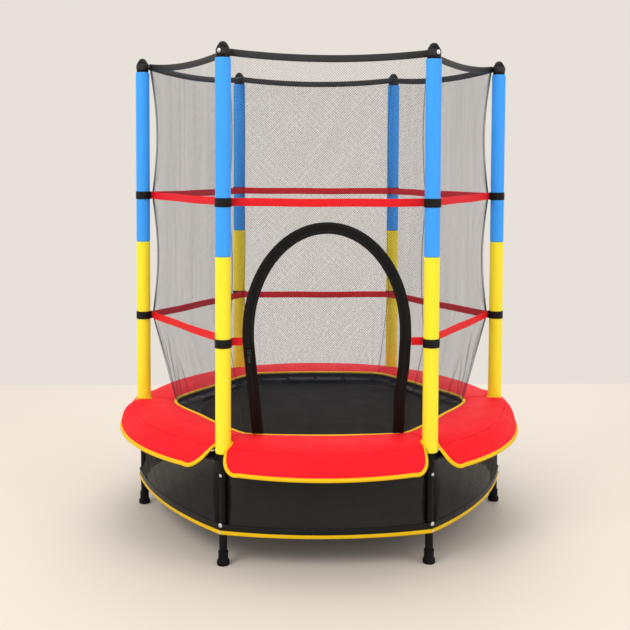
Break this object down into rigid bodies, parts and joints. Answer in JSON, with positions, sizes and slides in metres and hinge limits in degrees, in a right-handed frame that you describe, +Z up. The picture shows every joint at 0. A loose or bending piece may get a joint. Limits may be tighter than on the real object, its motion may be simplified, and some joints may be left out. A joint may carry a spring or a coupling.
{
  "type": "enclosed trampoline",
  "caption": "Small round trampoline on legs, with a padded edge, a mesh skirt, foam-sleeved poles and a tall net cage with a zipped arched door.",
  "frame": {"origin": "on the floor at the centre of the post circle", "axes": "+Z up, -Y towards the door, a post on each of +X and -X"},
  "size_m": [1.3922, 1.4, 1.6],
  "materials": {
    "frame_black": "black powder coat",
    "galvanised_steel": "zinc plated tube",
    "rubber": "matt",
    "foam_blue": "closed-cell foam under a soft skin",
    "foam_yellow": "closed-cell foam under a soft skin",
    "cap_plastic": "moulded",
    "zinc": "zinc plated",
    "tie_black": "webbing",
    "strap_red": "webbing",
    "band_black": "webbing",
    "net_mesh": "fine open mesh",
    "binding_black": "glossy tape",
    "zip_black": "coil zip",
    "zip_metal": "polished",
    "mat_black": "diagonal weave",
    "webbing_black": "webbing",
    "pad_red": "coated cloth over foam",
    "skirt_mesh": "dense mesh",
    "skirt_webbing": "webbing",
    "piping_yellow": "woven tape"
  },
  "bodies": {
    "frame_and_cage": {"top_rail_1": "frame_black", "top_rail_2": "frame_black", "top_rail_3": "frame_black", "top_rail_4": "frame_black", "top_rail_5": "frame_black", "top_rail_6": "frame_black", "leg_1": "frame_black", "leg_2": "frame_black", "leg_3": "frame_black", "leg_4": "frame_black", "leg_5": "frame_black", "leg_6": "frame_black", "lower_poles": "galvanised_steel", "upper_poles": "galvanised_steel", "rubber_feet": "rubber", "upper_foam_1": "foam_blue", "upper_foam_2": "foam_blue", "upper_foam_3": "foam_blue", "upper_foam_4": "foam_blue", "upper_foam_5": "foam_blue", "upper_foam_6": "foam_blue", "lower_foam_1": "foam_yellow", "lower_foam_2": "foam_yellow", "lower_foam_3": "foam_yellow", "lower_foam_4": "foam_yellow", "lower_foam_5": "foam_yellow", "lower_foam_6": "foam_yellow", "pole_caps": "cap_plastic", "cap_bolts": "zinc", "leg_bolts": "zinc", "springs": "zinc", "pole_ties": "tie_black", "net_straps": "strap_red", "top_band": "band_black", "net_panel_1": "net_mesh", "net_panel_2": "net_mesh", "net_panel_3": "net_mesh", "net_panel_4": "net_mesh", "net_panel_5": "net_mesh", "net_panel_6": "net_mesh", "door_binding": "binding_black", "net_hem": "binding_black", "zip_teeth": "zip_black", "pad_section_1": "pad_red", "pad_section_2": "pad_red", "pad_section_3": "pad_red", "pad_section_4": "pad_red", "pad_section_5": "pad_red", "pad_section_6": "pad_red", "skirt_mesh": "skirt_mesh", "skirt_band": "skirt_webbing", "skirt_binding": "piping_yellow"},
    "mat": {"jump_mat": "mat_black", "mat_webbing": "webbing_black", "triangle_rings": "zinc"},
    "zip_slider": {"zip_slider": "zip_metal"},
    "zip_pull": {"zip_pull": "zip_metal"}
  },
  "joints": [
    {"name": "mat_bounce", "type": "slide", "parent": "frame_and_cage", "child": "mat", "axis": [0, 0, 1], "range_m": [-0.15, 0.01], "stiffness_N_per_m": 4000, "springref_m": 0.0006, "deforming": ["springs", "net_hem"]},
    {"name": "zip_slider_travel", "type": "slide", "parent": "frame_and_cage", "child": "zip_slider", "axis": [-0.0857, -0.245, 0.9657], "range_m": [-0.235, 0.025]},
    {"name": "zip_pull_swing", "type": "hinge", "parent": "zip_slider", "child": "zip_pull", "pos_m": [-0.23947, -0.52619, 0.65285], "axis": [-0.9961, 0, -0.0884], "range_deg": [-10, 95]}
  ]
}
